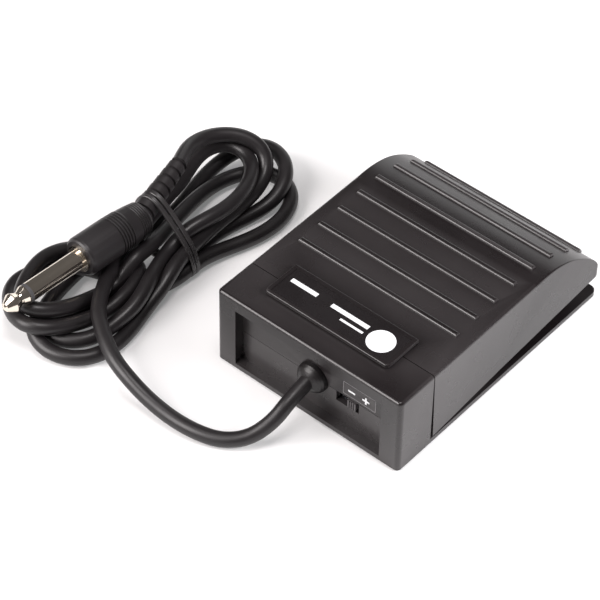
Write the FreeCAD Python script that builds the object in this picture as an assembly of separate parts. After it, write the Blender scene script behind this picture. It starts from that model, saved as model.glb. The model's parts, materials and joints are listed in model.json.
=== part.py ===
import FreeCAD, Part
import math
import os
from FreeCAD import Vector as V, Placement, Rotation

# Sustain pedal: a hinged treadle on a flat base, a fixed rear housing with a
# polarity switch, and a cord that is tied in a hank with a 6.35 mm phone plug.
# Millimetres, +Z up, +Y towards the cord end, -Y towards the toe.
# Origin: middle of the pedal's footprint, on the surface it stands on.

os.makedirs("parts", exist_ok=True)

# ---------------------------------------------------------------- dimensions
WIDTH = 72.0           # over the side walls
LENGTH = 100.0         # of the base
HALF = WIDTH / 2
Y_REAR, Y_TOE = LENGTH / 2, -LENGTH / 2
TOP_Z = 30.3           # flat top of the rear housing
PLATE_LO, PLATE_HI = 0.5, 2.6
WALL = 2.2
CORNER_R = 1.6         # rear vertical corners
TOE_R = 2.5            # toe vertical corners
SEAM_Y = 34.6          # front face of the rear housing
HINGE_Y, HINGE_Z = 27.5, 12.0
PIN_R = 1.5
TRAVEL_DEG = 4.2       # toe down
RECESS_X, RECESS_TOP, RECESS_Y = 28.6, 25.6, 46.6
PARTING_Z = 14.6       # top of the lower rear wall, and the cord's height
RIB_HALF, RIB_W, RIB_H = 31.0, 2.05, 0.9
RIB_Y = [17.25, 7.95, -1.35, -10.75]
RIB_NOSE_Y = [-19.85, -29.1, -37.65, -45.2]
TONGUE_X, TONGUE_Y0, TONGUE_Y1, TONGUE_LO, TONGUE_HI = 24.0, 27.2, 41.9, 30.8, 32.0
BADGE_X, BADGE_Y0, BADGE_Y1 = 22.6, 28.7, 40.7
SLOT_X0, SLOT_X1, SLOT_Z0 = -17.7, -8.9, 10.6
KNOB_X, KNOB_W, KNOB_TRAVEL = -15.1, 3.2, 3.8
CORD_D = 5.0
PLUG_R = 3.175         # 6.35 mm phone plug
HANDLE_R = 6.7
HANK_H = 12.6


def box(x0, x1, y0, y1, z0, z1):
    return Part.makeBox(x1 - x0, y1 - y0, z1 - z0, V(x0, y0, z0))


def cyl(r, p, d, h):
    return Part.makeCylinder(r, h, V(*p), V(*d))


def fuse(first, *others):
    return first.multiFuse(list(others)).removeSplitter()


def cut(first, *others):
    return first.cut(list(others)).removeSplitter() if others else first


def at(shape, p, d):
    """Moves a shape made along +Z from the origin to p, pointing along d."""
    s = shape.copy()
    s.Placement = Placement(V(*p), Rotation(V(0, 0, 1), V(*d)))
    return s


def revolve(profile):
    """Solid of revolution about +Z from (r, z) points."""
    pts = [V(r, 0, z) for r, z in profile]
    return Part.Face(Part.makePolygon(pts + [pts[0]])).revolve(V(0, 0, 0), V(0, 0, 1), 360)


def rounded_plan(x, y0, y1, r_rear, r_toe, z0, z1):
    """Rectangle in plan with its own radius at each end, pulled up from z0 to z1."""
    s = box(-x, x, y0, y1, z0, z1)
    up = [e for e in s.Edges if abs(e.Vertexes[0].Z - e.Vertexes[-1].Z) > 0.5 * (z1 - z0)]
    rear = [e for e in up if e.Vertexes[0].Y > 0.5 * (y0 + y1)]
    toe = [e for e in up if e.Vertexes[0].Y < 0.5 * (y0 + y1)]
    if r_rear:
        s = s.makeFillet(r_rear, rear)
        up = [e for e in s.Edges if abs(e.Vertexes[0].Z - e.Vertexes[-1].Z) > 0.5 * (z1 - z0)]
        toe = [e for e in up if e.Vertexes[0].Y < 0.5 * (y0 + y1)]
    if r_toe:
        s = s.makeFillet(r_toe, toe)
    return s


def route_wire(points, share=0.45, say=None, diameter=None):
    """Straight runs joined by tangent arcs as large as the runs allow."""
    p = [V(*q) for q in points]
    edges, last, radii, length = [], p[0], [], 0.0
    for i in range(1, len(p) - 1):
        a, b = p[i] - p[i - 1], p[i + 1] - p[i]
        turn = a.getAngle(b)
        short = min(a.Length, b.Length)
        r = share * short / math.tan(turn / 2)
        radii.append(r)
        t = share * short
        ua, ub = a.normalize(), b.normalize()
        s, e = p[i] - ua * t, p[i] + ub * t
        bis = (ub - ua).normalize()
        centre = p[i] + bis * (r / math.cos(turn / 2))
        mid = centre - bis * r
        edges.append(Part.LineSegment(last, s).toShape())
        edges.append(Part.Arc(s, mid, e).toShape())
        length += (s - last).Length + r * turn
        last = e
    edges.append(Part.LineSegment(last, p[-1]).toShape())
    length += (p[-1] - last).Length
    if say:
        print(say, "radii mm:", [round(r, 1) for r in radii],
              "smallest in diameters:", round(min(radii) / diameter, 2),
              "length mm:", round(length, 1))
    return Part.Wire(edges), length


def tube(points, r, share=0.45, say=None):
    wire, length = route_wire(points, share, say, 2 * r)
    first = V(*points[1]) - V(*points[0])
    ring = Part.Wire([Part.makeCircle(r, V(*points[0]), first)])
    s = wire.makePipeShell([ring], True, True)
    if s.Volume < 0:
        s.reverse()
    if say:
        print(say, "volume over section x length:", round(s.Volume / (math.pi * r * r * length), 4))
    return s


def smooth_face(points, z):
    """Closed smooth outline through (x, y) points at height z."""
    c = Part.BSplineCurve()
    c.interpolate([V(x, y, z) for x, y in points], PeriodicFlag=True)
    return Part.Face(Part.Wire([c.toShape()]))


def save(name, shape):
    if not shape.isValid():
        print("NOT VALID", name)
    shape.exportStep("parts/%s.step" % name)
    print("%-20s solids %d volume %.1f mm3" % (name, len(shape.Solids), shape.Volume))


# ------------------------------------------------------------------ the cord
AX = PARTING_Z
EXIT = (0.0, 50.4, AX)
ROUTE = [
    (0.0, 49.9, AX + 0.1),
    (0.0, 57.6, 13.0),
    (0.6, 64.4, 8.6),
    (4.2, 71.2, 4.2),
    (10.6, 76.4, 2.55),
    (18.8, 79.0, 2.55),
    (28.2, 79.9, 2.9),
    (38.0, 79.9, 4.6),
    (47.6, 79.1, 7.6),
    (55.8, 77.0, 9.4),
    (62.6, 73.8, 9.9),
]

# the hank's outline in plan, with a waist where it is tied
HANK = [
    (66.2, 28.8), (63.8, 18.0), (59.4, 7.0), (57.2, -3.0), (57.8, -11.0), (60.6, -17.6),
    (65.2, -23.2), (71.0, -28.3), (77.6, -31.4), (84.2, -31.8), (90.0, -29.4), (94.2, -24.4),
    (96.6, -17.0), (97.0, -8.0), (96.0, 1.0), (94.2, 11.0), (92.4, 20.0), (91.8, 28.8),
    (93.4, 35.2), (97.2, 41.2), (102.4, 47.2), (105.8, 53.0), (106.8, 61.0), (106.2, 70.0),
    (103.0, 78.6), (97.0, 84.4), (89.4, 86.4), (80.0, 86.2), (70.4, 84.8), (63.4, 81.2),
    (58.6, 74.8), (57.0, 66.6), (57.8, 57.6), (60.0, 50.4), (63.0, 43.4), (65.6, 36.0),
]

# plug: its handle lies on the hank and points along +Y
PLUG_FACE = (85.5, 58.9, 17.5)
PLUG_TILT = math.radians(4.0)
PLUG_DIR = (math.sin(PLUG_TILT), math.cos(PLUG_TILT), 0.0)
TIE_Y0, TIE_Y1 = 27.6, 30.8


def along(t):
    return tuple(PLUG_FACE[k] + PLUG_DIR[k] * t for k in range(3))


# ------------------------------------------------------------------ base tray
plate = rounded_plan(HALF, Y_TOE, Y_REAR, CORNER_R, TOE_R, PLATE_LO, PLATE_HI)
low = [e for e in plate.Edges if max(v.Z for v in e.Vertexes) < PLATE_LO + 0.01]
plate = plate.makeChamfer(0.35, low)
mat_cut = rounded_plan(HALF - 3.0, Y_TOE + 3.0, Y_REAR - 3.0, 2.0, 3.0, PLATE_LO - 0.1, PLATE_LO + 0.5)
rim = cut(rounded_plan(31.2, -43.2, 31.0, 1.0, 3.0, PLATE_HI - 0.1, 9.3),
          rounded_plan(30.0, -42.0, 33.0, 0, 1.8, PLATE_HI - 0.2, 10.0))
lower_wall = box(-28.45, 28.45, 44.6, RECESS_Y, PLATE_HI - 0.1, PARTING_Z - 0.08)
lugs = []
for sx in (-1, 1):
    x0, x1 = sorted((sx * 20.0, sx * 24.0))
    lug = fuse(box(x0, x1, HINGE_Y - 3.0, HINGE_Y + 3.0, PLATE_HI - 0.1, HINGE_Z),
               cyl(3.0, (x0, HINGE_Y, HINGE_Z), (1, 0, 0), 4.0))
    lugs.append(lug)
spring_boss = fuse(cyl(4.0, (0, -18.0, PLATE_HI - 0.1), (0, 0, 1), 3.4),
                   cyl(7.6, (0, -18.0, PLATE_HI - 0.1), (0, 0, 1), 0.9))
bump_seats = []
for sx in (-1, 1):
    bump_seats.append(cut(cyl(5.4, (sx * 19, -36.5, PLATE_HI - 0.1), (0, 0, 1), 1.6),
                          cyl(4.2, (sx * 19, -36.5, PLATE_HI), (0, 0, 1), 3.0)))
# catch bar that keeps the treadle from lifting past its rest position
catch = fuse(box(-11.0, -8.0, -32.4, -28.4, PLATE_HI - 0.1, 11.2),
             box(8.0, 11.0, -32.4, -28.4, PLATE_HI - 0.1, 11.2),
             box(-11.0, 11.0, -32.4, -28.4, 9.4, 11.2))
clamp_block = cut(box(-7.9, 7.9, 38.2, 41.2, PLATE_HI - 0.1, AX),
                  cyl(CORD_D / 2, (0, 38.0, AX), (0, 1, 0), 4.0),
                  cyl(0.95, (-5.6, 39.7, 8.6), (0, 0, 1), 8.0),
                  cyl(0.95, (5.6, 39.7, 8.6), (0, 0, 1), 8.0))
switch_wall = cut(box(-8.2, 8.2, -3.2, 13.2, PLATE_HI - 0.1, 5.2),
                  box(-6.6, 6.6, -1.6, 11.6, PLATE_HI, 6.0),
                  box(-3.6, 3.6, 11.0, 14.0, PLATE_HI, 6.0))
pcb_guides = fuse(box(-27.3, -25.4, 38.2, 41.4, PLATE_HI - 0.1, 13.0),
                  box(-10.2, -8.9, 38.2, 40.5, PLATE_HI - 0.1, 8.0))
base = fuse(plate, rim, lower_wall, *lugs, spring_boss, *bump_seats, catch, clamp_block, switch_wall, pcb_guides)
screw_xy = [(-31.0, 40.2), (31.0, 40.2)]
tools = [mat_cut,
         cyl(PIN_R, (-40, HINGE_Y, HINGE_Z), (1, 0, 0), 80),
         cyl(4.0, (0, 40, AX), (0, 1, 0), 8.0),
         box(SLOT_X0, SLOT_X1, 44.0, 48.0, SLOT_Z0, PARTING_Z + 1),
         box(-25.8, -9.8, 39.0, 40.5, PLATE_HI + 1.0, 14.0)]
for x, y in screw_xy:
    tools += [cyl(1.6, (x, y, -1), (0, 0, 1), 5.0), cyl(3.0, (x, y, -1), (0, 0, 1), 2.8)]
base = cut(base, *tools)
save("base_tray", base)

mat_holes = [cyl(3.4, (x, y, -1), (0, 0, 1), 5.0) for x, y in screw_xy]
mat = rounded_plan(HALF - 3.1, Y_TOE + 3.1, Y_REAR - 3.1, 1.9, 2.9, 0.0, PLATE_LO + 0.5)
grooves = [box(-30.0, 30.0, y - 0.5, y + 0.5, -0.1, 0.3) for y in range(-42, 37, 6)]
mat = cut(mat, *mat_holes, *grooves)
save("floor_mat", mat)

# -------------------------------------------------------------- rear housing
shell = rounded_plan(HALF, SEAM_Y, Y_REAR, CORNER_R, 0, PLATE_HI, TOP_Z)
top_edges = [e for e in shell.Edges if min(v.Z for v in e.Vertexes) > TOP_Z - 0.01
             and not all(abs(v.Y - SEAM_Y) < 0.01 for v in e.Vertexes)]
shell = shell.makeFillet(1.1, top_edges)
recess = box(-RECESS_X, RECESS_X, RECESS_Y, Y_REAR + 1, PLATE_HI - 1, RECESS_TOP)
inside = fuse(box(-33.8, 33.8, SEAM_Y + 2.0, 44.6, PLATE_HI - 1, TOP_Z - WALL),
              box(-RECESS_X, RECESS_X, 44.0, RECESS_Y + 0.5, PLATE_HI - 1, PARTING_Z + 0.08))
housing = cut(shell, recess, inside)
bosses = []
for x, y in screw_xy:
    bosses.append(cut(cyl(3.4, (x, y, PLATE_HI), (0, 0, 1), TOP_Z - WALL - PLATE_HI + 0.1),
                      cyl(1.15, (x, y, PLATE_HI - 1), (0, 0, 1), 12.0)))
housing = fuse(housing, *bosses)
# fine outline and polarity marks on the recessed panel
lx0, lx1, lz0, lz1 = -24.0, -11.4, 15.5, 20.7
frame_line = cut(box(lx0, lx1, RECESS_Y - 0.15, RECESS_Y + 0.5, lz0, lz1),
                 box(lx0 + 0.3, lx1 - 0.3, RECESS_Y - 1, RECESS_Y + 1, lz0 + 0.3, lz1 - 0.3))
housing = cut(housing, frame_line,
              cyl(4.0, (0, 40, AX), (0, 1, 0), 8.0),
              box(-7.4, 4.0, SEAM_Y - 1, SEAM_Y + 3, PLATE_HI - 1, 6.6))
marks = [box(-16.1, -13.5, RECESS_Y - 0.1, RECESS_Y + 0.12, 17.75, 18.25),
         box(-21.6, -19.0, RECESS_Y - 0.1, RECESS_Y + 0.12, 17.75, 18.25),
         box(-20.55, -20.05, RECESS_Y - 0.1, RECESS_Y + 0.12, 16.7, 19.3)]
housing = fuse(housing, *marks)
save("rear_housing", housing)

# ------------------------------------------------------- strain relief, cord
grommet = at(revolve([(CORD_D / 2, 0.0), (5.5, 0.0), (5.5, 2.0), (4.0, 2.0), (4.0, 4.0),
                      (5.5, 4.0), (5.5, 4.7), (5.25, 5.5), (4.7, 6.3), (3.95, 7.0), (3.2, 7.5),
                      (CORD_D / 2, 7.8)]), (0, 42.6, AX), (0, 1, 0))
save("grommet", grommet)
save("cable_inner", cyl(CORD_D / 2, (0, 36.9, AX), (0, 1, 0), EXIT[1] - 36.9))

bar = fuse(box(-7.9, 7.9, 38.3, 41.1, AX + 0.15, AX + 2.4),
           cyl(4.3, (0, 38.3, AX), (0, 1, 0), 2.8).common(box(-6, 6, 37, 42, AX + 0.15, AX + 6)))
bar = cut(bar, cyl(CORD_D / 2, (0, 36, AX), (0, 1, 0), 6.0),
          cyl(0.95, (-5.6, 39.7, 10), (0, 0, 1), 12), cyl(0.95, (5.6, 39.7, 10), (0, 0, 1), 12))
save("cable_clamp", bar)

clamp_screws = []
for x in (-5.6, 5.6):
    s = fuse(cyl(0.95, (x, 39.7, 8.6), (0, 0, 1), AX + 2.4 - 8.6), cyl(1.4, (x, 39.7, AX + 2.4), (0, 0, 1), 1.3))
    clamp_screws.append(cut(s, box(x - 1.2, x + 1.2, 39.5, 39.9, AX + 3.1, AX + 5)))
save("clamp_screws", Part.makeCompound(clamp_screws))

housing_screws = []
for x, y in screw_xy:
    s = fuse(cyl(1.15, (x, y, 1.8), (0, 0, 1), 10.5), cyl(2.6, (x, y, 0.6), (0, 0, 1), 1.2))
    housing_screws.append(cut(s, box(x - 1.6, x + 1.6, y - 0.3, y + 0.3, 0.5, 1.2),
                              box(x - 0.3, x + 0.3, y - 1.6, y + 1.6, 0.5, 1.2)))
save("housing_screws", Part.makeCompound(housing_screws))

# ------------------------------------------------------------ circuit, switch
pol_pins = [cyl(0.35, (x, 37.9, 11.2), (0, 1, 0), 2.7) for x in (-17.3, -13.3, -11.3)]
pcb = cut(box(-25.7, -9.9, 39.1, 40.5, 4.0, 22.0), *pol_pins)
save("circuit_board", pcb)
pol_body = cut(box(-20.9, -8.3, 40.6, 44.0, 8.4, 13.9),
               box(KNOB_X - 2.2, KNOB_X + KNOB_TRAVEL + 2.2, 42.2, 45.0, 9.9, 13.1))
save("polarity_body", pol_body)
slider = fuse(box(KNOB_X - 1.9, KNOB_X + 1.9, 42.5, 43.7, 10.3, 12.7),
              box(KNOB_X - 1.2, KNOB_X + 1.2, 43.6, 45.0, 11.0, 12.6),
              box(KNOB_X - KNOB_W / 2, KNOB_X + KNOB_W / 2, 44.4, 47.0, 11.0, 14.1))
slider = cut(slider, *[box(KNOB_X - 1.0 + i * 0.8, KNOB_X - 0.6 + i * 0.8, 46.7, 47.1, 10.9, 14.3) for i in range(3)])
save("polarity_slider", slider)
save("polarity_pins", Part.makeCompound(pol_pins))

sw_body = cut(fuse(box(-6.0, 6.0, -1.0, 11.0, PLATE_HI, 10.6),
                   cyl(3.4, (0, 5.0, 10.6), (0, 0, 1), 1.0)),
              cyl(2.3, (0, 5.0, 6.0), (0, 0, 1), 8.0))
save("switch_body", sw_body)
plunger = fuse(cyl(2.2, (0, 5.0, 8.6), (0, 0, 1), 6.1), Part.makeSphere(2.2, V(0, 5.0, 14.7)).common(box(-3, 3, 2, 8, 14.7, 15.6)))
save("switch_plunger", plunger)
terms = [box(x - 0.4, x + 0.4, 11.0, 13.6, 4.2, 4.5) for x in (-2.0, 2.0)]
save("switch_terminals", Part.makeCompound(terms))

lead_a = [tube([(x, 13.6, 4.35), (x, 20.0, 4.35), (x * 0.6, 27.0, 4.0), (x * 0.6 - 0.6, 33.6, 4.3),
                (x * 0.6 - 4.4, 37.0, 4.8), (-11.6, 37.5, z_ - 1.0), (-14.6, 37.6, z_), (-15.8, 39.1, z_ + 0.2)], 0.5).cut(pcb)
          for x, z_ in ((-2.0, 6.4), (2.0, 8.4))]
save("switch_leads", Part.makeCompound(lead_a))

# ------------------------------------------------------- hinge, spring, stops
save("hinge_pin", cyl(PIN_R, (-29.2, HINGE_Y, HINGE_Z), (1, 0, 0), 58.4))

bumpers = [fuse(cyl(4.1, (sx * 19, -36.5, PLATE_HI), (0, 0, 1), 2.6), cyl(3.2, (sx * 19, -36.5, 5.2), (0, 0, 1), 1.4))
           for sx in (-1, 1)]
save("stop_bumpers", Part.makeCompound(bumpers))

SPRING_LO, SPRING_HI, SPRING_R, SPRING_WIRE = 3.5, 23.6, 5.4, 0.7
turns = 6.0
helix = Part.makeHelix((SPRING_HI - SPRING_LO - 2 * SPRING_WIRE) / turns, SPRING_HI - SPRING_LO - 2 * SPRING_WIRE, SPRING_R)
ring = Part.Wire([Part.makeCircle(SPRING_WIRE, V(SPRING_R, 0, 0), V(0, 1, 0))])
coil = Part.Wire(helix).makePipeShell([ring], True, True)
coil.translate(V(0, -18.0, SPRING_LO + SPRING_WIRE))
save("return_spring", coil)

# ----------------------------------------------------------------- treadle
TOP_PTS = [(34.3, 30.30), (20.0, 30.48), (5.0, 30.62), (-8.0, 30.78), (-15.0, 30.86)]
NOSE_PTS = [(-15.0, 30.86), (-21.0, 30.74), (-26.5, 29.92), (-32.0, 28.15), (-37.4, 25.25),
            (-42.75, 21.4), (-46.9, 17.2), (-49.3, 13.2), (-49.9, 11.2)]


def nose_curve(points, x, start_dir=(0, -1, 0.01), end_dir=(0, -0.12, -1)):
    c = Part.BSplineCurve()
    c.interpolate([V(x, y, z) for y, z in points], InitialTangent=V(*start_dir), FinalTangent=V(*end_dir))
    return c


def offset_points(points, d):
    """Points moved inwards along the curve's normal."""
    c = nose_curve(points, 0)
    out = []
    for y, z in points:
        t = c.tangent(c.parameter(V(0, y, z)))[0]
        out.append((y + d * -t.z, z + d * t.y))
    return out


def side_profile(x, points, rear_y, rear_top, low):
    """Closed side profile: top, nose, then the low points back to the rear."""
    nose = nose_curve(points, x)
    p = [V(x, y, z) for y, z in low]
    edges = [Part.makeLine(V(x, rear_y, rear_top), V(x, *points[0])), nose.toShape(),
             Part.makeLine(V(x, *points[-1]), p[0])]
    for a, b in zip(p, p[1:]):
        edges.append(Part.makeLine(a, b))
    edges.append(Part.makeLine(p[-1], V(x, rear_y, rear_top)))
    return Part.Face(Part.Wire(Part.sortEdges(edges)[0]))


outer_low = [(-49.6, 10.1), (-48.9, 9.6), (-47.4, 9.45), (0.7, 6.0), (33.4, 3.0)]
outer = side_profile(-HALF, NOSE_PTS, 34.3, 30.3, outer_low).extrude(V(WIDTH, 0, 0))
plan = rounded_plan(HALF, -49.95, 60, 0, 2.0, -5, 45)
outer = outer.common(plan)
rim_edges = []
for e in outer.Edges:
    vs = e.Vertexes
    if all(abs(abs(v.X) - HALF) < 0.01 for v in vs) and min(v.Z for v in vs) > 16.0 and abs(vs[0].Y - vs[-1].Y) > 3:
        rim_edges.append(e)
try:
    rounded = outer.makeFillet(1.1, rim_edges)
    if rounded.isValid() and len(rounded.Solids) == 1:
        outer = rounded
    else:
        print("treadle fillet invalid")
except Exception as err:
    print("treadle fillet failed", err)

core_solid = side_profile(-HALF, NOSE_PTS, 34.3, 30.3, [(-49.1, 0.0), (33.4, 0.0)]).extrude(V(WIDTH, 0, 0))
core_solid.translate(V(0, 0.9, -0.9))
INNER = offset_points(NOSE_PTS, -WALL)
if INNER[0][1] > 30:
    INNER = offset_points(NOSE_PTS, WALL)
inner_low = [(INNER[-1][0], 4.0), (INNER[-1][0], -6.0), (31.2, -6.0)]
c = nose_curve(INNER, 0)
inner = side_profile(-HALF + WALL, INNER, 31.9, 28.1, inner_low).extrude(V(WIDTH - 2 * WALL, 0, 0))
inner = inner.common(rounded_plan(HALF - WALL, INNER[-1][0], 60, 0, 2.5, -10, 45))
treadle = cut(outer, inner)

ribs = [box(-RIB_HALF, RIB_HALF, y - RIB_W / 2, y + RIB_W / 2, 29.2, 30.30 + (34.3 - y) * 0.01136 + RIB_H) for y in RIB_Y]
curve = nose_curve(NOSE_PTS, 0)
for y in RIB_NOSE_Y:
    lo, hi = curve.FirstParameter, curve.LastParameter
    for _ in range(60):
        m = (lo + hi) / 2
        if curve.value(m).y > y:
            lo = m
        else:
            hi = m
    q, t = curve.value(lo), curve.tangent(lo)[0]
    normal = V(0, t.z, -t.y)
    if normal.z < 0:
        normal = normal * -1
    bar_ = Part.makeBox(2 * RIB_HALF, RIB_W, RIB_H + 1.0, V(-RIB_HALF, -RIB_W / 2, -1.0))
    angle = math.degrees(math.atan2(-normal.y, normal.z))
    bar_.Placement = Placement(q, Rotation(V(1, 0, 0), angle))
    ribs.append(bar_)
soft_ribs = []
for r in ribs:
    bb = r.BoundBox
    c0 = r.CenterOfMass
    pl = r.Placement
    edges = []
    up = pl.Rotation.multVec(V(0, 0, 1))
    far = max(v.Point.dot(up) for v in r.Vertexes)
    for e in r.Edges:
        if all(abs(v.Point.dot(up) - far) < 0.01 for v in e.Vertexes):
            edges.append(e)
    soft_ribs.append(r.makeFillet(0.78, edges))
ribs = soft_ribs

tongue = box(-TONGUE_X, TONGUE_X, TONGUE_Y0, TONGUE_Y1, TONGUE_LO, TONGUE_HI)
tongue = tongue.makeFillet(1.2, [e for e in tongue.Edges if abs(e.Vertexes[0].Z - e.Vertexes[-1].Z) > 0.5 and e.Vertexes[0].Y > 35])
tongue = tongue.makeFillet(0.35, [e for e in tongue.Edges if min(v.Z for v in e.Vertexes) > TONGUE_HI - 0.01])
tongue_root = box(-TONGUE_X + 0.4, TONGUE_X - 0.4, TONGUE_Y0 + 0.4, 34.2, 29.5, TONGUE_LO + 0.1)
badge_pocket = box(-BADGE_X, BADGE_X, BADGE_Y0, BADGE_Y1, TONGUE_HI - 0.4, TONGUE_HI + 1)

t_lugs = []
for sx in (-1, 1):
    x0, x1 = sorted((sx * 24.4, sx * 28.4))
    t_lugs.append(fuse(box(x0, x1, HINGE_Y - 3.2, HINGE_Y + 3.2, HINGE_Z, 28.6),
                       cyl(3.2, (x0, HINGE_Y, HINGE_Z), (1, 0, 0), 4.0)))
stop_posts = [cyl(4.0, (sx * 19, -36.5, 12.0), (0, 0, 1), 13.0).common(core_solid) for sx in (-1, 1)]
spring_seat = cut(cyl(7.4, (0, -18.0, 23.8), (0, 0, 1), 5.2), cyl(3.4, (0, -18, 23), (0, 0, 1), 2.2))
presser = fuse(cyl(2.4, (0, 5.0, 17.6), (0, 0, 1), 11.2), Part.makeSphere(2.4, V(0, 5.0, 18.4)).common(box(-3, 3, 2, 8, 16.0, 18.4)))
hook = fuse(box(-5.0, 5.0, -36.0, -33.6, 7.8, 26.0).common(core_solid), box(-5.0, 5.0, -34.0, -29.6, 7.8, 9.0))
webs = [box(sx * 26.0 - 0.7, sx * 26.0 + 0.7, -24.0, 22.0, 21.0, 28.8) for sx in (-1, 1)]
treadle = fuse(treadle, *ribs, tongue, tongue_root, *t_lugs, *stop_posts, spring_seat, presser, hook, *webs)
treadle = cut(treadle, badge_pocket,
              cyl(PIN_R + 0.06, (-40, HINGE_Y, HINGE_Z), (1, 0, 0), 80).common(box(-32, 32, 20, 36, 8, 16)),
              box(-4.4, 4.4, 30.0, 36.0, -5, 7.2))
save("treadle", treadle)

badge = box(-BADGE_X + 0.05, BADGE_X - 0.05, BADGE_Y0 + 0.05, BADGE_Y1 - 0.05, TONGUE_HI - 0.4, TONGUE_HI - 0.12)
save("badge_plate", badge)
# generic badge decoration: a round dot and plain bars, slightly raised
dot = cyl(4.6, (-16.0, 35.2, TONGUE_HI - 0.12), (0, 0, 1), 0.06)
bars = [box(-9.8, 4.6, 32.6, 34.2, TONGUE_HI - 0.12, TONGUE_HI - 0.06), box(-9.8, -1.0, 35.8, 36.6, TONGUE_HI - 0.12, TONGUE_HI - 0.06),
        box(10.4, 20.6, 32.4, 34.0, TONGUE_HI - 0.12, TONGUE_HI - 0.06)]
save("badge_graphic", Part.makeCompound([dot] + bars))

# ----------------------------------------------------------------- the plug
handle_len = 26.5
prof = [(2.0, 0.0), (5.9, 0.0), (6.45, 0.5), (HANDLE_R, 1.2), (HANDLE_R, 13.0)]
z = 13.0
for i in range(5):      # grip grooves, close together
    r = HANDLE_R - 0.035 * i
    prof += [(r, z), (r - 0.42, z + 0.22), (r - 0.42, z + 0.46), (r - 0.02, z + 0.68)]
    z += 1.08
prof += [(6.4, 18.4), (6.1, 21.8)]
z = 21.8
for i in range(5):      # finer rings near the boot
    r = 6.1 - 0.12 * i
    prof += [(r, z), (r - 0.3, z + 0.18), (r - 0.3, z + 0.38), (r - 0.05, z + 0.56)]
    z += 0.84
prof += [(5.5, 26.0), (5.1, handle_len), (2.0, handle_len)]
back = tuple(-c_ for c_ in PLUG_DIR)
handle = at(revolve(prof), PLUG_FACE, back)

BOOT_LEN, BOOT_R0, BOOT_STEP, BOOT_PITCH = 25.0, 3.95, 0.165, 3.55
boot_dir = V(4.4, -24.2, 4.5).normalize()
boot_from = along(-handle_len + 1.6)
bprof = [(1.2, 0.0), (BOOT_R0, 0.0)]
z = 0.0
for i in range(7):
    r0, r1 = BOOT_R0 - i * BOOT_STEP, BOOT_R0 - (i + 1) * BOOT_STEP
    bprof += [(r0, z + 2.35), (r0 - 0.75, z + 2.6), (r1 - 0.7, z + 3.3), (r1, z + BOOT_PITCH)]
    z += BOOT_PITCH
bprof += [(2.8, BOOT_LEN), (1.2, BOOT_LEN)]
boot = at(revolve(bprof), boot_from, (boot_dir.x, boot_dir.y, boot_dir.z))
boot = boot.multiFuse([at(cyl(1.3, (0, 0, 0), (0, 0, 1), BOOT_LEN), boot_from, (boot_dir.x, boot_dir.y, boot_dir.z))]).removeSplitter()
handle = cut(handle, boot)
core = at(cyl(2.0, (0, 0, 0), (0, 0, 1), handle_len), PLUG_FACE, back)
handle = fuse(handle, cut(core, boot))

sleeve = at(cyl(PLUG_R, (0, 0, 0), (0, 0, 1), 21.4), PLUG_FACE, PLUG_DIR)
collar = at(cyl(4.6, (0, 0, 0), (0, 0, 1), 0.7), PLUG_FACE, PLUG_DIR)
sleeve = fuse(sleeve, collar)
insulator = at(cyl(PLUG_R, (0, 0, 0), (0, 0, 1), 1.2), along(21.4), PLUG_DIR)
tip = at(revolve([(0, 0.0), (PLUG_R, 0.0), (PLUG_R, 0.5), (2.35, 2.2), (2.2, 3.0), (2.5, 3.5), (PLUG_R, 5.0),
                  (PLUG_R, 5.5), (1.5, 8.1), (0.7, 8.6), (0, 8.7)]), along(22.6), PLUG_DIR)
save("plug_handle", handle)
save("plug_boot", boot)
save("plug_sleeve", sleeve)
save("plug_insulator", insulator)
save("plug_tip", tip)

# -------------------------------------------------------- hank, tie and tube
hank = smooth_face(HANK, 0.0).extrude(V(0, 0, HANK_H))
boot_end = V(*boot_from) + boot_dir * BOOT_LEN

# twist tie: a band round the waist and the back of the plug
tie_pts = [(64.4, 0.0), (93.0, 0.0), (93.6, 10.0), (91.6, 18.4), (88.6, 23.6), (81.6, 24.0), (75.2, 20.2), (66.2, 13.0), (63.9, 8.0)]
ty = TIE_Y0
poly = Part.makePolygon([V(x, ty, z) for x, z in tie_pts] + [V(tie_pts[0][0], ty, tie_pts[0][1])])
t_out = Part.Face(poly).extrude(V(0, TIE_Y1 - TIE_Y0, 0))
cx = sum(p[0] for p in tie_pts) / len(tie_pts)


def shrink(pts, d):
    out = []
    n = len(pts)
    for i in range(n):
        (x0, z0), (x1, z1), (x2, z2) = pts[i - 1], pts[i], pts[(i + 1) % n]
        a = V(x1 - x0, z1 - z0, 0).normalize()
        b = V(x2 - x1, z2 - z1, 0).normalize()
        na, nb = V(-a.y, a.x, 0), V(-b.y, b.x, 0)
        m = (na + nb).normalize()
        k = d / max(m.dot(na), 0.3)
        out.append((x1 + m.x * k, z1 + m.y * k))
    return out


t_in_pts = shrink(tie_pts, 0.9)
poly = Part.makePolygon([V(x, ty - 0.5, z) for x, z in t_in_pts] + [V(t_in_pts[0][0], ty - 0.5, t_in_pts[0][1])])
t_in = Part.Face(poly).extrude(V(0, TIE_Y1 - TIE_Y0 + 1.0, 0))
tie = t_out.cut(t_in)
tails = [Part.makeBox(6.5, 2.6, 0.9, V(0, 0, 0))]
slab = box(50, 110, TIE_Y0 - 0.2, TIE_Y1 + 0.2, -5, 40)
hank = hank.cut(slab.cut(t_in))
envelope = at(cyl(HANDLE_R + 0.15, (0, 0, 0), (0, 0, 1), handle_len + 0.1), along(0.1), back)
boot_env = at(cyl(4.4, (0, 0, 0), (0, 0, 1), BOOT_LEN), boot_from, (boot_dir.x, boot_dir.y, boot_dir.z))
fit_env = at(cyl(6.6, (0, 0, 0), (0, 0, 1), 60.0), along(0.0), PLUG_DIR)
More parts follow.
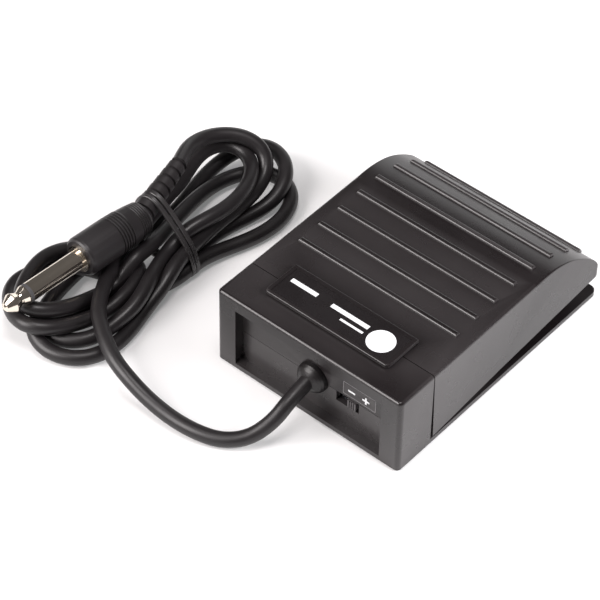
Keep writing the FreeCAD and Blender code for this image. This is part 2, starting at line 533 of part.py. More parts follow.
# the strand that leaves the boot and the stack that it comes down on
saddle = smooth_face([(82.0, 10.6), (84.6, 12.6), (90.6, 12.0), (94.4, 7.0), (95.6, 0.0), (95.0, -9.0), (91.0, -18.0),
                      (84.0, -22.0), (79.0, -18.0), (84.0, -14.0), (87.6, -8.0), (87.0, 0.0)], HANK_H - 0.5).extrude(V(0, 0, 6.2))
knuckle = tube([(boot_end.x, boot_end.y, boot_end.z), (91.6, 2.6, 20.6), (93.6, -6.4, 17.6), (92.6, -14.4, 14.6), (88.0, -20.6, 11.4)], 2.9)
hank = hank.multiFuse([saddle, knuckle])
hank = hank.cut([envelope, boot_env, fit_env])
solids = sorted(hank.Solids, key=lambda s_: -s_.Volume)
hank = solids[0]
print("hank solids", [round(s_.Volume, 1) for s_ in solids])
save("cord_hank", hank)
save("twist_tie", tie)

cord = tube(ROUTE, CORD_D / 2, say="cord tube")
cord = cord.cut(box(-10, 10, 40, EXIT[1], 0, 30))
cord = cord.cut(hank)
cord = sorted(cord.Solids, key=lambda s_: -s_.Volume)[0]
print("lowest of the tube", round(cord.BoundBox.ZMin, 3))
save("cord_tube", cord)
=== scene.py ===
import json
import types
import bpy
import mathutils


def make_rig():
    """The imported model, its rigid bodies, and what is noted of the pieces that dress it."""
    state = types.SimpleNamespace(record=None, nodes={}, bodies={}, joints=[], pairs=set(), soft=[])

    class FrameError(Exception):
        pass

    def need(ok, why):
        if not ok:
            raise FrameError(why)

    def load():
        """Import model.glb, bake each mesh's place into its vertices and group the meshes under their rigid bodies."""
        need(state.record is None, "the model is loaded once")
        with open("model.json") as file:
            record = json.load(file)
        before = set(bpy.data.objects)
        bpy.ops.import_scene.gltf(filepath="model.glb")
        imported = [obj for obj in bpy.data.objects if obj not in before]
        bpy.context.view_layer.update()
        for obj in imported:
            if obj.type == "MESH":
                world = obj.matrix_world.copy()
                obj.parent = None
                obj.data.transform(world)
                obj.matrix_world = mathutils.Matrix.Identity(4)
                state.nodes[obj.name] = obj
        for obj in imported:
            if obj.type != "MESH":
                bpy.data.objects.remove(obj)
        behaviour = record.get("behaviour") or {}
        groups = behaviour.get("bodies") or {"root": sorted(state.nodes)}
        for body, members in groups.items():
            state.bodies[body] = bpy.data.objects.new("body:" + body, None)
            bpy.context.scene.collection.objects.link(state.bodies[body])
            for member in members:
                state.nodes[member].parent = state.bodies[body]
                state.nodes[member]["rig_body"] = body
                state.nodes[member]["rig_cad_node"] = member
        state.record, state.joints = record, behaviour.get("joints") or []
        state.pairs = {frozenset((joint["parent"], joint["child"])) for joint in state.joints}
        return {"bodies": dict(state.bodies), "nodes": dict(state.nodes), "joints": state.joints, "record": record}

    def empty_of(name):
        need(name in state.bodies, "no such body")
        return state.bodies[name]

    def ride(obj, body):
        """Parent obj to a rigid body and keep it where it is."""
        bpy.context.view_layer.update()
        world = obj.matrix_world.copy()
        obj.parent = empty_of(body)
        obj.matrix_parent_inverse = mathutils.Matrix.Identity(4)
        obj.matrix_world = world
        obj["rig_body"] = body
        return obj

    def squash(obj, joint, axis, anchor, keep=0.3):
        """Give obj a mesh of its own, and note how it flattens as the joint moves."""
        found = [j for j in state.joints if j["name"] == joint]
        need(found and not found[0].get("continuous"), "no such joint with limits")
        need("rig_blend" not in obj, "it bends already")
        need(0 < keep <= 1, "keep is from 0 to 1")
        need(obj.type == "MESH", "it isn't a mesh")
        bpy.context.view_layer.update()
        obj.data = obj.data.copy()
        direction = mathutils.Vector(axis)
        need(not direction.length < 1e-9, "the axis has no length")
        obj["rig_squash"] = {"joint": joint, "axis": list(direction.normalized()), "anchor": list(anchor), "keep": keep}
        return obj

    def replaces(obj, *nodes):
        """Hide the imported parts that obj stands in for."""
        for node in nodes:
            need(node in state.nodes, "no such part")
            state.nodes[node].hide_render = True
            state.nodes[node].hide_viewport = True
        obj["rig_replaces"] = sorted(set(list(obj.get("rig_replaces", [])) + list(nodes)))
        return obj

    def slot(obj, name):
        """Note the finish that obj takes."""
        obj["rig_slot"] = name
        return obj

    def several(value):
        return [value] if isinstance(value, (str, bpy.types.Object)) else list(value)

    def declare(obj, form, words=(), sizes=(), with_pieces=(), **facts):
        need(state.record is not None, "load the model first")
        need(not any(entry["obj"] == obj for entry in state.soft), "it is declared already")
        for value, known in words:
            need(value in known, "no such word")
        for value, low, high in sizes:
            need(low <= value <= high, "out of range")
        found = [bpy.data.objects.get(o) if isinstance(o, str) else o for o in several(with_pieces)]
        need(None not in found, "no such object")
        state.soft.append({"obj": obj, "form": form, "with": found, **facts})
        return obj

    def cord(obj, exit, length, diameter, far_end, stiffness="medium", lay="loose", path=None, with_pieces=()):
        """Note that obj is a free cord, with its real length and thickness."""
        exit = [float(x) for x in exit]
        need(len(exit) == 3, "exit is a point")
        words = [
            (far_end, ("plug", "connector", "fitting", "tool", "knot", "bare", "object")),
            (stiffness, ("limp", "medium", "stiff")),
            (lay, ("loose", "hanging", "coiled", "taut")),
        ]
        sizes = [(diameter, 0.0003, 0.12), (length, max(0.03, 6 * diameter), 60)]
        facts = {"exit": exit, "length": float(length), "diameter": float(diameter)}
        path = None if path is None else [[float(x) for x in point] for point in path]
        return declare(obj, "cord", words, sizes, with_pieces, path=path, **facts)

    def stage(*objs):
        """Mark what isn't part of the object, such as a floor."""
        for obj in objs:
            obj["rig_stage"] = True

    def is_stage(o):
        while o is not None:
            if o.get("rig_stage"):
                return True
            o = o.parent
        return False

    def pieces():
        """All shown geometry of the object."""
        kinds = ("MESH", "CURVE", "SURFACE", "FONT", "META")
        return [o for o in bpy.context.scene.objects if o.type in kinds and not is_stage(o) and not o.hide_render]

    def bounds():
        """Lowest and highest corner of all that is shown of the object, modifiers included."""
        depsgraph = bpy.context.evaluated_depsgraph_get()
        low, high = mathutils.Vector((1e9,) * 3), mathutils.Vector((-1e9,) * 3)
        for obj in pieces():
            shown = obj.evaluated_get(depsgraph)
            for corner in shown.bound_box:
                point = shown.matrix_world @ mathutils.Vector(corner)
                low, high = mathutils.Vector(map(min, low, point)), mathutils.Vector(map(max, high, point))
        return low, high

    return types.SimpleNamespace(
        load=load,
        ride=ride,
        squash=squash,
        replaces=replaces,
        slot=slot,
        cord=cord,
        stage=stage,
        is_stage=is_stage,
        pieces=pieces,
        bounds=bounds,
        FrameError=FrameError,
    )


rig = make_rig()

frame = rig.load()

import bpy, bmesh, json, math
from mathutils import Matrix, Vector

box0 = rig.bounds()
nodes = frame["nodes"]
scene = bpy.context.scene

# ------------------------------------------------------------------- camera
AZ, EL, ROLL, DIST, LENS = math.radians(219.862), math.radians(45.725), math.radians(1.128), 0.8796, 166.8
back = Vector((math.sin(AZ) * math.cos(EL), -math.cos(AZ) * math.cos(EL), math.sin(EL)))
right = Vector((math.cos(AZ), math.sin(AZ), 0.0))
up = back.cross(right)
cam_r = right * math.cos(ROLL) + up * math.sin(ROLL)
cam_u = up * math.cos(ROLL) - right * math.sin(ROLL)
place = Vector((0.03308, 0.01422, 0.0)) + back * DIST
cam_data = bpy.data.cameras.new("camera")
cam_data.lens, cam_data.sensor_width, cam_data.sensor_fit = LENS, 36.0, "HORIZONTAL"
cam_data.clip_start, cam_data.clip_end = 0.01, 50.0
cam = bpy.data.objects.new("camera", cam_data)
scene.collection.objects.link(cam)
m = Matrix.Identity(4)
for i in range(3):
    m[i][0], m[i][1], m[i][2], m[i][3] = cam_r[i], cam_u[i], back[i], place[i]
cam.matrix_world = m
scene.camera = cam

# -------------------------------------------------------------------- light
try:
    scene.view_settings.view_transform = "Standard"
    scene.view_settings.look = "None"
except TypeError:
    pass
world = bpy.data.worlds.new("studio")
scene.world = world
world.use_nodes = True
world.node_tree.nodes["Background"].inputs[0].default_value = (1.0, 0.95, 0.94, 1.0)
world.node_tree.nodes["Background"].inputs[1].default_value = 0.12


def area(name, azimuth, elevation, distance, size, power, colour=(1, 1, 1), aim=(0.02, 0.01, 0.01)):
    """A square soft light seen from the object in that direction (azimuth 0 is towards -Y, 90 towards +X)."""
    a, e = math.radians(azimuth), math.radians(elevation)
    d = Vector((math.sin(a) * math.cos(e), -math.cos(a) * math.cos(e), math.sin(e)))
    data = bpy.data.lights.new(name, "AREA")
    data.shape, data.size, data.energy, data.color = "SQUARE", size, power, colour
    o = bpy.data.objects.new(name, data)
    scene.collection.objects.link(o)
    o.location = Vector(aim) + d * distance
    o.rotation_euler = d.to_track_quat("Z", "Y").to_euler()
    return o


LIGHTS = [
    ("rear_key", 150, 34, 0.9, 0.62, 12.5, (1.0, 0.955, 0.95)),
    ("side_near", 285, 40, 0.36, 0.26, 3.8, (1.0, 0.985, 1.0), (-0.10, -0.03, 0.0)),
    ("top", 215, 82, 1.0, 0.34, 4.5, (1.0, 0.96, 0.96)),
    ("toe_glow", 30, 12, 1.1, 0.7, 2.0),
]
for spec in LIGHTS:
    lamp = area(*spec)
    if spec[0] == "side_near":
        lamp.visible_glossy = False      # it brightens the floor and leaves no glare on the top


# ---------------------------------------------------------------- materials
def tree(name):
    mat = bpy.data.materials.new(name)
    mat.use_nodes = True
    nt = mat.node_tree
    return mat, nt, nt.nodes["Principled BSDF"]


def node(nt, kind, **values):
    n = nt.nodes.new(kind)
    for k, v in values.items():
        if k.startswith("in_"):
            n.inputs[int(k[3:]) if k[3:].isdigit() else k[3:].replace("_", " ")].default_value = v
        else:
            setattr(n, k, v)
    return n


def ramp(nt, source, stops):
    r = nt.nodes.new("ShaderNodeValToRGB")
    while len(r.color_ramp.elements) < len(stops):
        r.color_ramp.elements.new(0.5)
    for e, (pos, col) in zip(r.color_ramp.elements, stops):
        e.position = pos
        e.color = (*col, 1.0) if len(col) == 3 else (col[0], col[0], col[0], 1.0)
    nt.links.new(source, r.inputs[0])
    return r


def surface(name, base, rough, metallic=0.0, grain=1400.0, bump=0.06, spread=0.18, rough_spread=0.07,
            specular=0.5, painted_edge_highlight=0.0, coat=0.0, patch=45.0, stretch=None, dist=0.00012, sheen=0.0):
    """A moulded or drawn surface: colour and roughness vary in soft patches, a fine grain in the bump, edges a little
    paler as a painted edge highlight.
    """
    mat, nt, bsdf = tree(name)
    tc = node(nt, "ShaderNodeTexCoord")
    mp = node(nt, "ShaderNodeMapping")
    if stretch:
        mp.inputs["Scale"].default_value = stretch
    nt.links.new(tc.outputs["Object"], mp.inputs["Vector"])
    soft = node(nt, "ShaderNodeTexNoise", in_Scale=patch, in_Detail=4.0, in_Roughness=0.6)
    fine = node(nt, "ShaderNodeTexNoise", in_Scale=grain, in_Detail=2.0, in_Roughness=0.55)
    for n in (soft, fine):
        nt.links.new(mp.outputs["Vector"], n.inputs["Vector"])
    lo = tuple(max(0.0, c * (1 - spread)) for c in base)
    hi = tuple(min(1.0, c * (1 + spread)) for c in base)
    colour = ramp(nt, soft.outputs["Fac"], [(0.32, lo), (0.68, hi)])
    out = colour.outputs["Color"]
    if painted_edge_highlight:
        # painted highlight: convex edges, found by pointiness, are mixed towards a paler copy of the base colour
        geo = node(nt, "ShaderNodeNewGeometry")
        edge = ramp(nt, geo.outputs["Pointiness"], [(0.53, (0.0,)), (0.60, (1.0,))])
        mix = node(nt, "ShaderNodeMix", data_type="RGBA")
        mul = node(nt, "ShaderNodeMath", operation="MULTIPLY", in_1=painted_edge_highlight)
        nt.links.new(edge.outputs["Color"], mul.inputs[0])
        nt.links.new(mul.outputs[0], mix.inputs[0])
        nt.links.new(out, mix.inputs[6])
        mix.inputs[7].default_value = tuple(min(1.0, c * 2.2 + 0.03) for c in base) + (1.0,)
        out = mix.outputs[2]
    nt.links.new(out, bsdf.inputs["Base Color"])
    r = ramp(nt, soft.outputs["Fac"], [(0.3, (max(0.02, rough - rough_spread),)), (0.7, (min(1.0, rough + rough_spread),))])
    nt.links.new(r.outputs["Color"], bsdf.inputs["Roughness"])
    b = node(nt, "ShaderNodeBump", in_Strength=bump, in_Distance=dist)
    nt.links.new(fine.outputs["Fac"], b.inputs["Height"])
    nt.links.new(b.outputs["Normal"], bsdf.inputs["Normal"])
    bsdf.inputs["Metallic"].default_value = metallic
    bsdf.inputs["Specular IOR Level"].default_value = specular
    bsdf.inputs["Coat Weight"].default_value = coat
    if coat:
        bsdf.inputs["Coat Roughness"].default_value = 0.25
    if sheen:
        bsdf.inputs["Sheen Weight"].default_value = sheen
    return mat


# body, treadle, plug handle and tie get the painted edge highlight on their convex edges
body = surface("body_black", (0.0080, 0.0062, 0.0066), 0.29, grain=2600, bump=0.07, painted_edge_highlight=0.5, specular=0.44, patch=38)
tread = surface("treadle_black", (0.0080, 0.0062, 0.0066), 0.29, grain=2600, bump=0.07, painted_edge_highlight=0.5, specular=0.48, patch=30)
jacket = surface("jacket_black", (0.0095, 0.0082, 0.0088), 0.40, grain=1500, bump=0.07, spread=0.12, specular=0.46, patch=70)
handle_mat = surface("handle_black", (0.0095, 0.0082, 0.0088), 0.40, grain=2200, bump=0.08, specular=0.45, painted_edge_highlight=0.4)
boot_mat = surface("boot_black", (0.0115, 0.0100, 0.0106), 0.46, grain=1800, bump=0.10, specular=0.45)
tie_mat = surface("tie_black", (0.016, 0.0145, 0.015), 0.30, grain=1500, bump=0.06, specular=0.6, painted_edge_highlight=0.4)
rubber = surface("mat_rubber", (0.022, 0.022, 0.022), 0.75, grain=1700, bump=0.35, spread=0.3, specular=0.3)
grommet_mat = surface("grommet_black", (0.0085, 0.0072, 0.0076), 0.36, grain=1900, bump=0.08, specular=0.35)
nickel = surface("nickel", (0.80, 0.73, 0.63), 0.13, metallic=1.0, grain=900, bump=0.03, spread=0.04, rough_spread=0.05,
                 stretch=(1.0, 0.12, 1.0), patch=160)
steel = surface("steel", (0.58, 0.58, 0.60), 0.30, metallic=1.0, grain=1600, bump=0.08, spread=0.08, stretch=(0.2, 1, 1))
brass = surface("brass", (0.72, 0.55, 0.28), 0.28, metallic=1.0, grain=1500, bump=0.05, spread=0.08)
board = surface("board_green", (0.03, 0.16, 0.06), 0.35, grain=700, bump=0.10, spread=0.25, patch=300, coat=0.4)
red = surface("lead_red", (0.42, 0.03, 0.02), 0.45, grain=1800, bump=0.05)
orange = surface("plunger", (0.62, 0.13, 0.07), 0.4, grain=1800, bump=0.06)
grey = surface("grey_plastic", (0.05, 0.048, 0.05), 0.5, grain=1900, bump=0.12, spread=0.2)
frame_grey = surface("frame_grey", (0.16, 0.155, 0.16), 0.45, grain=2600, bump=0.05, spread=0.15, patch=220)
knob = surface("knob_grey", (0.055, 0.05, 0.052), 0.42, grain=2000, bump=0.08)
badge = surface("badge_black", (0.0075, 0.006, 0.0065), 0.26, grain=3200, bump=0.03, spread=0.12, specular=0.5, coat=0.2, patch=60)
white = surface("print_white", (0.60, 0.61, 0.62), 0.42, grain=2600, bump=0.05, spread=0.03, patch=220)

LOOK = {
    "base_tray": body, "rear_housing": body, "treadle": tread, "floor_mat": rubber, "grommet": grommet_mat,
    "cable_inner": jacket, "cable_clamp": grey, "clamp_screws": steel, "housing_screws": steel,
    "circuit_board": board, "polarity_body": steel, "polarity_slider": knob, "polarity_pins": brass,
    "switch_body": grey, "switch_plunger": orange, "switch_terminals": brass, "switch_leads": red,
    "hinge_pin": steel, "stop_bumpers": rubber, "return_spring": steel, "badge_plate": badge, "badge_graphic": white,
    "plug_handle": handle_mat, "plug_boot": boot_mat, "plug_sleeve": nickel, "plug_insulator": grey, "plug_tip": nickel,
}
smooth = bpy.data.node_groups.new("smooth_by_angle", "GeometryNodeTree")
smooth.interface.new_socket("Geometry", in_out="INPUT", socket_type="NodeSocketGeometry")
smooth.interface.new_socket("Geometry", in_out="OUTPUT", socket_type="NodeSocketGeometry")
gi, go = smooth.nodes.new("NodeGroupInput"), smooth.nodes.new("NodeGroupOutput")
faces, edges = smooth.nodes.new("GeometryNodeSetShadeSmooth"), smooth.nodes.new("GeometryNodeSetShadeSmooth")
faces.domain, edges.domain = "FACE", "EDGE"
edges.inputs["Shade Smooth"].default_value = False
ang, cmp_ = smooth.nodes.new("GeometryNodeInputMeshEdgeAngle"), smooth.nodes.new("FunctionNodeCompare")
cmp_.data_type, cmp_.operation = "FLOAT", "GREATER_THAN"
cmp_.inputs[1].default_value = math.radians(28)
smooth.links.new(gi.outputs[0], faces.inputs["Geometry"])
smooth.links.new(faces.outputs[0], edges.inputs["Geometry"])
smooth.links.new(ang.outputs["Unsigned Angle"], cmp_.inputs[0])
smooth.links.new(cmp_.outputs[0], edges.inputs["Selection"])
smooth.links.new(edges.outputs[0], go.inputs[0])

for name, mat in LOOK.items():
    o = nodes[name]
    if not o.material_slots:
        print("no material slot on", name)
    for s in o.material_slots:
        s.material = mat
    g = o.modifiers.new("smooth", "NODES")
    g.node_group = smooth


def mesh_object(name, verts, faces_, mat, slot, smooth_faces=False):
    me = bpy.data.meshes.new(name)
    me.from_pydata([tuple(v) for v in verts], [], faces_)
    bm = bmesh.new()
    bm.from_mesh(me)
    bmesh.ops.recalc_face_normals(bm, faces=bm.faces)
    bm.to_mesh(me)
    bm.free()
    me.polygons.foreach_set("use_smooth", [smooth_faces] * len(me.polygons))
    me.materials.append(mat)
    o = bpy.data.objects.new(name, me)
    scene.collection.objects.link(o)
    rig.slot(o, slot)
    return o


def slabs(name, boxes, mat, slot, bevel=0.00006):
    """Several small rounded slabs in one piece: (x0, x1, y0, y1, z0, z1) in mm."""
    verts, faces_ = [], []
    for x0, x1, y0, y1, z0, z1 in boxes:
        k = len(verts)
        verts += [(x / 1000, y / 1000, z / 1000) for z in (z0, z1) for y in (y0, y1) for x in (x0, x1)]
        faces_ += [[k + a for a in f] for f in ((0, 2, 3, 1), (4, 5, 7, 6), (0, 1, 5, 4), (2, 6, 7, 3), (0, 4, 6, 2), (1, 3, 7, 5))]
    o = mesh_object(name, verts, faces_, mat, slot)
    b = o.modifiers.new("bevel", "BEVEL")
    b.width, b.segments = bevel, 2
    return o


# ----------------------------------------------------------- the free cord
CORD = [
    (0.00000, 0.04990, 0.01470),
    (0.00000, 0.05760, 0.01300),
    (0.00060, 0.06440, 0.00860),
    (0.00420, 0.07120, 0.00420),
    (0.01060, 0.07640, 0.00255),
    (0.01880, 0.07900, 0.00255),
    (0.02820, 0.07990, 0.00290),
    (0.03800, 0.07990, 0.00460),
    (0.04760, 0.07910, 0.00760),
    (0.05580, 0.07700, 0.00940),
    (0.06854, 0.06897, 0.01046),
    (0.07241, 0.06444, 0.01070),
    (0.07570, 0.05920, 0.01047),
    (0.07915, 0.05335, 0.00976),
    (0.08204, 0.04671, 0.00864),
    (0.08430, 0.03971, 0.00827),
    (0.08617, 0.03343, 0.00805),
    (0.08763, 0.02737, 0.00812),
    (0.08878, 0.02128, 0.00859),
    (0.08976, 0.01552, 0.00904),
    (0.09064, 0.01051, 0.00905),
    (0.09162, 0.00607, 0.00887),
    (0.09290, 0.00152, 0.00930),
    (0.09400, -0.00347, 0.01050),
    (0.09374, -0.00870, 0.01182),
    (0.09124, -0.01342, 0.01250),
    (0.08679, -0.01622, 0.01222),
    (0.08162, -0.01592, 0.01153),
    (0.07694, -0.01270, 0.01127),
    (0.07337, -0.00751, 0.01155),
    (0.07101, -0.00145, 0.01200),
    (0.06992, 0.00480, 0.01239),
    (0.07006, 0.01093, 0.01259),
    (0.07127, 0.01681, 0.01246),
    (0.07294, 0.02232, 0.01139),
    (0.07378, 0.02760, 0.00929),
    (0.07318, 0.03315, 0.00789),
    (0.07123, 0.03937, 0.00830),
    (0.06838, 0.04577, 0.00920),
    (0.06609, 0.05168, 0.00875),
    (0.06516, 0.05712, 0.00763),
    (0.06553, 0.06247, 0.00622),
    (0.06681, 0.06780, 0.00452),
    (0.06931, 0.07294, 0.00318),
    (0.07342, 0.07707, 0.00261),
    (0.07877, 0.07892, 0.00256),
    (0.08401, 0.07789, 0.00256),
    (0.08784, 0.07452, 0.00256),
    (0.08995, 0.06969, 0.00256),
    (0.09121, 0.06418, 0.00256),
    (0.09219, 0.05834, 0.00256),
    (0.09282, 0.05219, 0.00256),
    (0.09284, 0.04585, 0.00256),
    (0.09213, 0.03957, 0.00256),
    (0.09091, 0.03339, 0.00256),
    (0.08956, 0.02725, 0.00256),
    (0.08840, 0.02114, 0.00256),
    (0.08797, 0.01513, 0.00256),
    (0.08866, 0.00925, 0.00256),
    (0.09014, 0.00343, 0.00256),
    (0.09152, -0.00239, 0.00260),
    (0.09226, -0.00806, 0.00293),
    (0.09209, -0.01341, 0.00378),
    (0.09075, -0.01843, 0.00525),
    (0.08788, -0.02287, 0.00702),
    (0.08335, -0.02583, 0.00827),
    (0.07782, -0.02628, 0.00853),
    (0.07263, -0.02415, 0.00818),
    (0.06883, -0.02033, 0.00760),
    (0.06680, -0.01595, 0.00641),
    (0.06639, -0.01144, 0.00473),
    (0.06723, -0.00652, 0.00335),
    (0.06867, -0.00104, 0.00267),
    (0.07009, 0.00477, 0.00256),
    (0.07098, 0.01067, 0.00256),
    (0.07126, 0.01666, 0.00256),
    (0.07136, 0.02288, 0.00256),
    (0.07181, 0.02937, 0.00256),
    (0.07284, 0.03587, 0.00256),
    (0.07507, 0.04180, 0.00256),
    (0.07935, 0.04641, 0.00297),
    (0.08417, 0.04988, 0.00469),
    (0.08881, 0.05325, 0.00670),
    (0.09349, 0.05701, 0.00724),
    (0.09797, 0.06136, 0.00630),
    (0.10120, 0.06622, 0.00573),
    (0.10204, 0.07126, 0.00559),
    (0.10012, 0.07611, 0.00576),
    (0.09575, 0.08061, 0.00649),
    (0.08978, 0.08421, 0.00792),
    (0.08362, 0.08524, 0.00919),
    (0.07886, 0.08213, 0.00862),
    (0.07582, 0.07653, 0.00726),
    (0.07378, 0.07040, 0.00610),
    (0.07223, 0.06486, 0.00568),
    (0.07129, 0.06012, 0.00620),
    (0.07108, 0.05542, 0.00707),
    (0.07174, 0.04982, 0.00742),
    (0.07415, 0.04407, 0.00701),
    (0.07842, 0.04093, 0.00602),
    (0.08268, 0.04101, 0.00389),
    (0.08717, 0.04305, 0.00470),
    (0.09163, 0.04640, 0.00737),
    (0.09554, 0.05096, 0.00937),
    (0.09806, 0.05644, 0.01059),
    (0.09876, 0.06218, 0.01119),
    (0.09780, 0.06775, 0.01125),
    (0.09568, 0.07337, 0.01140),
    (0.09254, 0.07853, 0.01169),
    (0.08834, 0.08135, 0.01187),
    (0.08383, 0.08026, 0.01178),
    (0.08045, 0.07555, 0.01062),
    (0.07868, 0.06896, 0.00887),
    (0.07824, 0.06197, 0.00679),
    (0.07803, 0.05563, 0.00508),
    (0.07732, 0.05065, 0.00561),
    (0.07705, 0.04701, 0.00922),
    (0.07676, 0.04276, 0.01171),
    (0.07723, 0.03682, 0.01104),
    (0.07897, 0.02997, 0.00947),
    (0.08095, 0.02333, 0.00809),
    (0.08257, 0.01734, 0.00695),
    (0.08393, 0.01163, 0.00608),
    (0.08509, 0.00597, 0.00522),
    (0.08601, 0.00060, 0.00420),
    (0.08622, -0.00474, 0.00348),
    (0.08501, -0.01047, 0.00343),
    (0.08214, -0.01597, 0.00366),
    (0.07783, -0.02008, 0.00360),
    (0.07262, -0.02173, 0.00310),
    (0.06736, -0.02041, 0.00261),
    (0.06311, -0.01641, 0.00256),
    (0.06056, -0.01091, 0.00256),
    (0.05967, -0.00491, 0.00256),
    (0.06014, 0.00109, 0.00256),
    (0.06160, 0.00697, 0.00259),
    (0.06360, 0.01283, 0.00275),
    (0.06541, 0.01864, 0.00309),
    (0.06638, 0.02419, 0.00342),
    (0.06650, 0.02954, 0.00339),
    (0.06680, 0.03493, 0.00297),
    (0.06827, 0.04033, 0.00260),
    (0.07045, 0.04587, 0.00256),
    (0.07247, 0.05188, 0.00256),
    (0.07432, 0.05827, 0.00256),
    (0.07667, 0.06437, 0.00267),
    (0.07987, 0.06971, 0.00403),
    (0.08317, 0.07456, 0.00640),
    (0.08506, 0.07905, 0.00715),
    (0.08388, 0.08232, 0.00520),
    (0.07977, 0.08428, 0.00348),
    (0.07421, 0.08438, 0.00270),
    (0.06869, 0.08236, 0.00256),
    (0.06441, 0.07837, 0.00256),
    (0.06211, 0.07296, 0.00256),
    (0.06174, 0.06684, 0.00256),
    (0.06267, 0.06055, 0.00256),
    (0.06419, 0.05455, 0.00287),
    (0.06522, 0.04902, 0.00388),
    (0.06543, 0.04395, 0.00563),
    (0.06621, 0.03906, 0.00771),
    (0.06772, 0.03332, 0.00859),
    (0.06907, 0.02635, 0.00802),
    (0.07016, 0.01914, 0.00747),
    (0.07067, 0.01270, 0.00751),
    (0.07064, 0.00684, 0.00755),
    (0.07080, 0.00084, 0.00727),
    (0.07142, -0.00530, 0.00681),
    (0.07240, -0.01102, 0.00708),
    (0.07381, -0.01572, 0.00867),
    (0.07617, -0.01880, 0.01144),
    (0.07991, -0.01960, 0.01451),
    (0.08460, -0.01783, 0.01673),
    (0.08892, -0.01423, 0.01786),
    (0.09185, -0.00973, 0.01848),
    (0.09309, -0.00488, 0.01919),
    (0.09264, 0.00007, 0.02013),
    (0.09077, 0.00513, 0.02112),
    (0.08815, 0.01030, 0.02190),
]
data = bpy.data.curves.new("cord", "CURVE")
data.dimensions = "3D"
data.bevel_depth = 0.0025
data.bevel_resolution = 7
data.resolution_u = 7
data.use_fill_caps = True
sp = data.splines.new("NURBS")
sp.points.add(len(CORD) - 1)
for p, co in zip(sp.points, CORD):
    p.co = (*co, 1.0)
sp.order_u = 3
sp.use_endpoint_u = True
data.materials.append(jacket)
cord = bpy.data.objects.new("cord", data)
scene.collection.objects.link(cord)
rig.slot(cord, "cord_jacket")
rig.replaces(cord, "cord_tube", "cord_hank")
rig.ride(cord, "base")

# --------------------------------------------------------------- twist tie
TIE = [(92.74, 2.56), (92.36, 4.44), (91.90, 6.31), (91.45, 8.17), (90.99, 10.04), (90.54, 11.91), (90.08, 13.77), (89.63, 15.64), (89.17, 17.51), (88.71, 19.37), (87.86, 21.08), (86.33, 22.21), (84.47, 22.57), (82.63, 22.06), (81.06, 20.95), (79.52, 19.81), (77.97, 18.67), (76.42, 17.53), (74.88, 16.39), (73.33, 15.25), (71.78, 14.11), (70.24, 12.97), (68.69, 11.83), (67.14, 10.69), (65.96, 9.22), (65.22, 7.45), (64.47, 5.67), (63.79, 3.88), (64.12, 2.02), (65.56, 0.81), (67.45, 0.50), (69.35, 0.50), (71.25, 0.50), (73.16, 0.50), (75.09, 0.50), (77.01, 0.50), (78.93, 0.50), (80.85, 0.50), (82.77, 0.50), (84.69, 0.50), (86.62, 0.50), (88.54, 0.50), (90.46, 0.50), (92.09, 0.79)]


def closed_band(name, outline, y_of, width, thick, ribs, mat, slot, lift=0.0):
    """A flat band with fine lengthwise ribs round a closed outline in the x-z plane."""
    n = len(outline)
    pts = []
    for i in range(n):                       # smooth the outline a little
        acc = [0.0, 0.0]
        for k, w in ((-2, 1), (-1, 2), (0, 3), (1, 2), (2, 1)):
            q = outline[(i + k) % n]
            acc[0] += q[0] * w / 9
            acc[1] += q[1] * w / 9
        pts.append(acc)
    fine = []
    for i in range(n):
        p0, p1, p2, p3 = (pts[(i + k) % n] for k in (-1, 0, 1, 2))
        for s in range(4):
            t = s / 4
            fine.append([0.5 * (2 * p1[c] + (p2[c] - p0[c]) * t + (2 * p0[c] - 5 * p1[c] + 4 * p2[c] - p3[c]) * t * t
                                + (3 * p1[c] - p0[c] - 3 * p2[c] + p3[c]) * t ** 3) for c in (0, 1)])
    section = []
    steps = ribs * 6
    for i in range(steps + 1):
        u = i / steps
        edge = min(u, 1 - u) * width / (thick * 0.6)
        round_ = 1.0 if edge >= 1 else math.sqrt(max(0.0, 1 - (1 - edge) ** 2))
        bead = 0.5 - 0.5 * math.cos(2 * math.pi * ribs * u)
        section.append(((u - 0.5) * width, thick * (0.25 + 0.55 * round_) + 0.13 * thick * bead * round_))
    section += [(width * 0.5, 0.0), (0.0, -0.02), (-width * 0.5, 0.0)]
    verts, faces_ = [], []
    N, M = len(fine), len(section)
    cx, cz = sum(p[0] for p in fine) / N, sum(p[1] for p in fine) / N
    for i in range(N):
        a, b = fine[i - 1], fine[(i + 1) % N]
        t = Vector((b[0] - a[0], b[1] - a[1])).normalized()
        nrm = Vector((t.y, -t.x))
        if nrm.dot(Vector((fine[i][0] - cx, fine[i][1] - cz))) < 0:
            nrm = -nrm
        yc = y_of(fine[i][0], fine[i][1])
        for w, h in section:
            x = fine[i][0] + nrm.x * (h + lift)
            z = max(0.04, fine[i][1] + nrm.y * (h + lift))
            verts.append((x / 1000, (yc + w) / 1000, z / 1000))
    for i in range(N):
        for j in range(M):
            faces_.append([i * M + j, i * M + (j + 1) % M, ((i + 1) % N) * M + (j + 1) % M, ((i + 1) % N) * M + j])
    return mesh_object(name, verts, faces_, mat, slot, True)


def bow(x, z):
    """How far the middle of the tie's upper run leans towards -Y, in mm."""
    return 1.4 * math.sin(math.pi * max(0.0, min(1.0, (x - 64) / 29))) * max(0.0, min(1.0, (z - 2) / 8))


tie = closed_band("tie", TIE, lambda x, z: 29.9 - 0.06 * z + 0.45 * max(0.0, min(1.0, (z - 4) / 14)) - bow(x, z), 1.75, 0.75, 3, tie_mat, "tie_plastic")
tie2 = closed_band("tie_turn", TIE, lambda x, z: 28.2 - 0.06 * z - bow(x, z), 1.75, 0.75, 3, tie_mat, "tie_plastic", 0.05)
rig.replaces(tie, "twist_tie")
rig.ride(tie, "base")
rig.ride(tie2, "base")

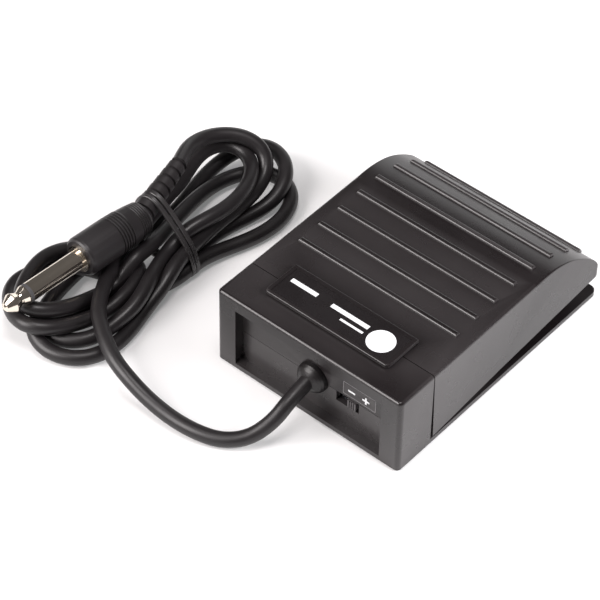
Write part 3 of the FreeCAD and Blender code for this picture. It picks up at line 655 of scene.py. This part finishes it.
# ------------------------------------ the spring, which shortens with the hinge
coil = bpy.data.objects.new("spring_coil", nodes["return_spring"].data.copy())
scene.collection.objects.link(coil)
coil.data.materials.clear()
coil.data.materials.append(steel)
coil.modifiers.new("smooth", "NODES").node_group = smooth
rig.slot(coil, "spring_steel")
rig.replaces(coil, "return_spring")
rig.ride(coil, "base")
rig.squash(coil, "treadle_hinge", axis=(0, 0, 1), anchor=(0.0, -0.018, 0.0035), keep=0.80)

# ------------------------------------------------- printed marks at the rear
marks = slabs("polarity_print", [
    (-16.15, -13.45, 46.56, 46.745, 17.68, 18.32),
    (-21.65, -18.95, 46.56, 46.745, 17.68, 18.32),
    (-20.62, -19.98, 46.56, 46.74, 16.65, 19.35)], white, "badge_print", 0.00003)
outline = slabs("polarity_outline", [
    (-24.0, -11.4, 46.44, 46.62, 15.52, 15.72), (-24.0, -11.4, 46.44, 46.62, 20.50, 20.70),
    (-24.0, -23.80, 46.44, 46.62, 15.52, 20.70), (-11.6, -11.40, 46.44, 46.62, 15.52, 20.70)],
    frame_grey, "badge_print", 0.00003)
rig.ride(marks, "base")
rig.ride(outline, "base")

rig.cord(cord, exit=(0.0, 0.0504, 0.0146), length=1.069, diameter=0.005, far_end="plug", stiffness="limp", lay="coiled",
        with_pieces=[nodes["plug_handle"], nodes["plug_boot"], nodes["plug_sleeve"], nodes["plug_insulator"], nodes["plug_tip"], tie, tie2])

# ---------------------------------------------------------------- the floor
fm, nt, bsdf = tree("floor_white")
noise = node(nt, "ShaderNodeTexNoise", in_Scale=3.0, in_Detail=2.0)
tcf = node(nt, "ShaderNodeTexCoord")
nt.links.new(tcf.outputs["Object"], noise.inputs["Vector"])
fr = ramp(nt, noise.outputs["Fac"], [(0.3, (0.61, 0.61, 0.61)), (0.7, (0.63, 0.63, 0.63))])
nt.links.new(fr.outputs["Color"], bsdf.inputs["Base Color"])
bsdf.inputs["Roughness"].default_value = 0.9
bsdf.inputs["Specular IOR Level"].default_value = 0.1
bsdf.inputs["Emission Color"].default_value = (1.0, 1.0, 1.0, 1.0)
bsdf.inputs["Emission Strength"].default_value = 0.18
me = bpy.data.meshes.new("floor")
s_ = 4.0
me.from_pydata([(-s_, -s_, 0), (s_, -s_, 0), (s_, s_, 0), (-s_, s_, 0)], [], [(0, 1, 2, 3)])
me.materials.append(fm)
floor = bpy.data.objects.new("floor", me)
floor.location = (0, 0, -0.00005)
scene.collection.objects.link(floor)
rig.stage(floor)

box1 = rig.bounds()
try:
    with open("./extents.json", "w") as fh:
        json.dump({"cad": [list(map(float, v)) for v in box0], "visual": [list(map(float, v)) for v in box1]}, fh)
except OSError as err:
    print("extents.json not written", err)
